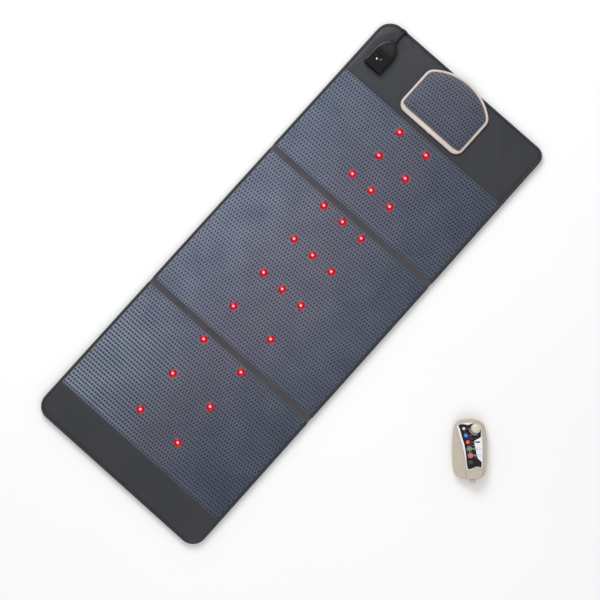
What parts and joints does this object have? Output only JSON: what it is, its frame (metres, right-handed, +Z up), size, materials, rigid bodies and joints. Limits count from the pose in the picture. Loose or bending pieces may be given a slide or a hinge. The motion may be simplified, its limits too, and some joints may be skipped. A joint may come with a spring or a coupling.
{
  "type": "infrared sauna blanket",
  "caption": "Flat three-panel folding heating mat with a mesh top, leather-cloth ends, photon lamps, a D-shaped neck pillow, a lead connector and a hand controller.",
  "frame": {"origin": "the centre of the mat's flat underside, where the open mat rests on the bed or floor", "axes": "+Z up out of the mat's top, +Y along the mat to its head end, +X to the right of someone who lies on it with the head at +Y, where the hand controller lies"},
  "size_m": [1.2435, 1.756, 0.057],
  "materials": {
    "mesh_fabric": "slate blue-grey spacer mesh, woven with oval holes",
    "pu_leather": "dark grey leather cloth, fine grain, satin",
    "hem_binding": "near-black binding tape, satin",
    "strip_pu": "brownish grey leather cloth, satin",
    "backing": "black non-slip backing cloth",
    "foam": "open-cell foam",
    "heating_film": "carbon heating film",
    "coil_copper": "enamelled copper winding",
    "lamp_lens": "clear red, lit",
    "piping": "pinkish beige leather cloth, satin",
    "connector_plastic": "black, satin to gloss",
    "rubber": "black, matte",
    "steel": "plated",
    "contact_brass": "bright",
    "controller_plastic": "warm beige-grey, satin",
    "overlay_print": "black printed film with a white border, satin",
    "knob_ivory": "ivory, glossy",
    "button_blue": "blue, satin",
    "button_red": "red, satin",
    "button_green": "green, satin",
    "display_glass": "smoked window, glossy",
    "light_pipe": "smoked, glossy",
    "circuit_board": "green solder mask"
  },
  "bodies": {
    "foot_panel": {"foot_base_cover": "backing", "foot_foam_core": "foam", "foot_heating_film": "heating_film", "foot_pulse_coil": "coil_copper", "photon_array_foot": "lamp_lens", "foot_mesh_cover": "mesh_fabric", "foot_band": "pu_leather", "foot_hem": "hem_binding", "foot_fold_strip": "strip_pu"},
    "middle_panel": {"middle_base_cover": "backing", "middle_foam_core": "foam", "middle_heating_film": "heating_film", "middle_pulse_coil": "coil_copper", "photon_array_middle": "lamp_lens", "middle_mesh_cover": "mesh_fabric", "middle_hem_left": "hem_binding", "middle_hem_right": "hem_binding", "head_fold_strip": "strip_pu"},
    "head_panel": {"head_base_cover": "backing", "head_foam_core": "foam", "head_heating_film": "heating_film", "head_pulse_coil": "coil_copper", "photon_array_head": "lamp_lens", "head_mesh_cover": "mesh_fabric", "head_band": "pu_leather", "head_hem": "hem_binding", "connector_lower_shell": "connector_plastic", "connector_upper_shell": "connector_plastic", "connector_contact_block": "contact_brass", "connector_screw": "steel", "connector_lead": "rubber", "lead_boot": "rubber", "lead_grommet": "rubber"},
    "latch": {"connector_latch": "connector_plastic"},
    "pillow": {"pillow_base": "pu_leather", "pillow_cushion": "mesh_fabric", "pillow_piping": "piping"},
    "controller": {"controller_rear_shell": "controller_plastic", "controller_front_shell": "controller_plastic", "controller_overlay": "overlay_print", "display_module": "display_glass", "indicator_light_pipe": "light_pipe", "controller_circuit_board": "circuit_board", "temperature_potentiometer": "steel", "frequency_encoder": "steel", "cable_gland": "controller_plastic", "controller_screw_1": "steel", "controller_screw_2": "steel", "controller_screw_3": "steel", "controller_screw_4": "steel", "controller_foot_1": "rubber", "controller_foot_2": "rubber", "controller_foot_3": "rubber", "controller_foot_4": "rubber"},
    "temperature_dial": {"temperature_knob": "knob_ivory"},
    "frequency_dial": {"frequency_knob": "knob_ivory"},
    "pulse_key": {"pulse_button": "button_blue"},
    "photon_key": {"photon_button": "button_red"},
    "timer_key": {"timer_button": "button_green"},
    "power_key": {"power_button": "button_red"}
  },
  "joints": [
    {"name": "mat_fold", "type": "hinge", "parent": "foot_panel", "child": "middle_panel", "pos_m": [0, -0.309, 0.0225], "axis": [1, 0, 0], "range_deg": [0, 180]},
    {"name": "head_fold", "type": "hinge", "parent": "middle_panel", "child": "head_panel", "pos_m": [0, 0.287, -0.0005], "axis": [-1, 0, 0], "range_deg": [0, 180]},
    {"name": "pillow_lift", "type": "slide", "parent": "head_panel", "child": "pillow", "axis": [0, 0, 1], "range_m": [0, 0.25]},
    {"name": "latch_press", "type": "slide", "parent": "head_panel", "child": "latch", "axis": [0, 0, -1], "range_m": [0, 0.002], "stiffness_N_per_m": 400, "springref_m": -0.002},
    {"name": "controller_lift", "type": "slide", "parent": "foot_panel", "child": "controller", "axis": [0, 0, 1], "range_m": [0, 0.3]},
    {"name": "temperature_turn", "type": "hinge", "parent": "controller", "child": "temperature_dial", "pos_m": [0.77198, 0.03078, 0.045], "axis": [0, 0, 1], "range_deg": [-150, 150]},
    {"name": "frequency_turn", "type": "hinge", "parent": "controller", "child": "frequency_dial", "pos_m": [0.7428, 0.0043, 0.045], "axis": [0, 0, 1], "range_deg": [-150, 150]},
    {"name": "pulse_press", "type": "slide", "parent": "controller", "child": "pulse_key", "axis": [0, 0, -1], "range_m": [0, 0.001], "stiffness_N_per_m": 400, "springref_m": -0.002},
    {"name": "photon_press", "type": "slide", "parent": "controller", "child": "photon_key", "axis": [0, 0, -1], "range_m": [0, 0.001], "stiffness_N_per_m": 400, "springref_m": -0.002},
    {"name": "timer_press", "type": "slide", "parent": "controller", "child": "timer_key", "axis": [0, 0, -1], "range_m": [0, 0.001], "stiffness_N_per_m": 400, "springref_m": -0.002},
    {"name": "power_press", "type": "slide", "parent": "controller", "child": "power_key", "axis": [0, 0, -1], "range_m": [0, 0.001], "stiffness_N_per_m": 400, "springref_m": -0.002}
  ]
}
